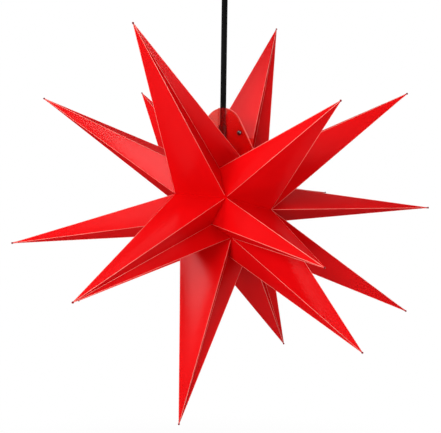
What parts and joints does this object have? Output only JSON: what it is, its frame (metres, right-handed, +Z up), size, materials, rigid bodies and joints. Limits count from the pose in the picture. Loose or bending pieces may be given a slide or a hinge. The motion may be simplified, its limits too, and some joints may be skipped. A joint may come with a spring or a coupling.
{
  "type": "star pendant light",
  "caption": "Folding plastic star pendant: hollow points in columns round a level fold axis, hung by a black cord from a ceiling rose, with tabs that close round the lampholder neck.",
  "frame": {"origin": "on the ceiling plane, on the axis of the cord, at the middle of the top face of the ceiling bracket", "axes": "+Z up; +X along the fold axis of the star, towards the pole that the picture shows; -Y towards the side of the closing tab with the stud caps"},
  "size_m": [0.428, 0.5573, 0.5709],
  "materials": {
    "star_plastic": "satin translucent polypropylene sheet",
    "black_plastic": "moulded, satin",
    "cord_rubber": "matte sheath",
    "zinc_steel": "zinc plated",
    "screw_steel": "plated",
    "brass": "bright",
    "pale_plastic": "moulded",
    "core_insulation": "extruded",
    "ceramic": "unglazed",
    "stud_metal": "plated",
    "lamp_metal": "rolled",
    "solder_tip": "soldered",
    "black_glass": "vitreous",
    "lamp_glass": "clear",
    "filament": "phosphor coated"
  },
  "bodies": {
    "ceiling": {"ceiling_bracket": "zinc_steel", "canopy_cup": "black_plastic", "canopy_screws": "screw_steel", "outlet_bush": "black_plastic", "cord_clamp": "black_plastic", "clamp_screws": "screw_steel", "terminal_block": "pale_plastic", "terminal_screws": "brass", "rose_core_wires": "core_insulation", "cord_tail": "cord_rubber"},
    "cord_top": {"cord_bend": "cord_rubber"},
    "pendant": {"pendant_cord": "cord_rubber", "neck_tube": "black_plastic", "neck_lock_nut": "screw_steel", "cord_grip_collar": "black_plastic", "holder_cap": "black_plastic", "holder_shell": "black_plastic", "holder_insert": "ceramic", "thread_sleeve": "brass", "centre_contact": "brass", "holder_terminal_screws": "brass", "holder_core_wires": "core_insulation"},
    "star": {"star_sheet_01": "star_plastic", "star_sheet_02": "star_plastic", "star_sheet_03": "star_plastic", "star_sheet_04": "star_plastic", "star_sheet_05": "star_plastic", "star_sheet_06": "star_plastic", "star_sheet_07": "star_plastic", "star_sheet_08": "star_plastic", "star_sheet_09": "star_plastic", "star_sheet_10": "star_plastic", "star_sheet_11": "star_plastic", "star_sheet_12": "star_plastic"},
    "front_tab": {"closure_tab_front": "star_plastic", "press_stud_caps": "stud_metal"},
    "back_tab": {"closure_tab_back": "star_plastic", "press_stud_sockets": "stud_metal"},
    "lamp_foot": {"lamp_tip": "solder_tip"},
    "lamp": {"lamp_insulator": "black_glass", "lamp_base": "lamp_metal", "lamp_bulb": "lamp_glass", "lamp_stem": "lamp_glass", "lamp_filaments": "filament"}
  },
  "joints": [
    {"name": "swing_about_x", "type": "hinge", "parent": "ceiling", "child": "cord_top", "pos_m": [0, 0, -0.04], "axis": [1, 0, 0], "range_deg": [-12, 12]},
    {"name": "swing_about_y", "type": "hinge", "parent": "cord_top", "child": "pendant", "pos_m": [0, 0, -0.056], "axis": [0, 1, 0], "range_deg": [-12, 12]},
    {"name": "star_turn", "type": "hinge", "parent": "pendant", "child": "star", "pos_m": [0, 0, -0.325], "axis": [0, 0, 1], "continuous": true},
    {"name": "front_tab_fold", "type": "hinge", "parent": "star", "child": "front_tab", "pos_m": [0, -0.0005, -0.2708], "axis": [1, 0, 0], "range_deg": [0, 35]},
    {"name": "back_tab_fold", "type": "hinge", "parent": "star", "child": "back_tab", "pos_m": [0, 0.0005, -0.2708], "axis": [-1, 0, 0], "range_deg": [0, 25]},
    {"name": "lamp_travel", "type": "slide", "parent": "pendant", "child": "lamp_foot", "axis": [0, 0, -1], "range_m": [0, 0.01411]},
    {"name": "lamp_turn", "type": "hinge", "parent": "lamp_foot", "child": "lamp", "pos_m": [0, 0, -0.325], "axis": [0, 0, -1], "range_deg": [0, 1800]}
  ],
  "couplings": [
    {"joint": "lamp_travel", "follows": "lamp_turn", "m_per_rad": 0.00044882}
  ]
}
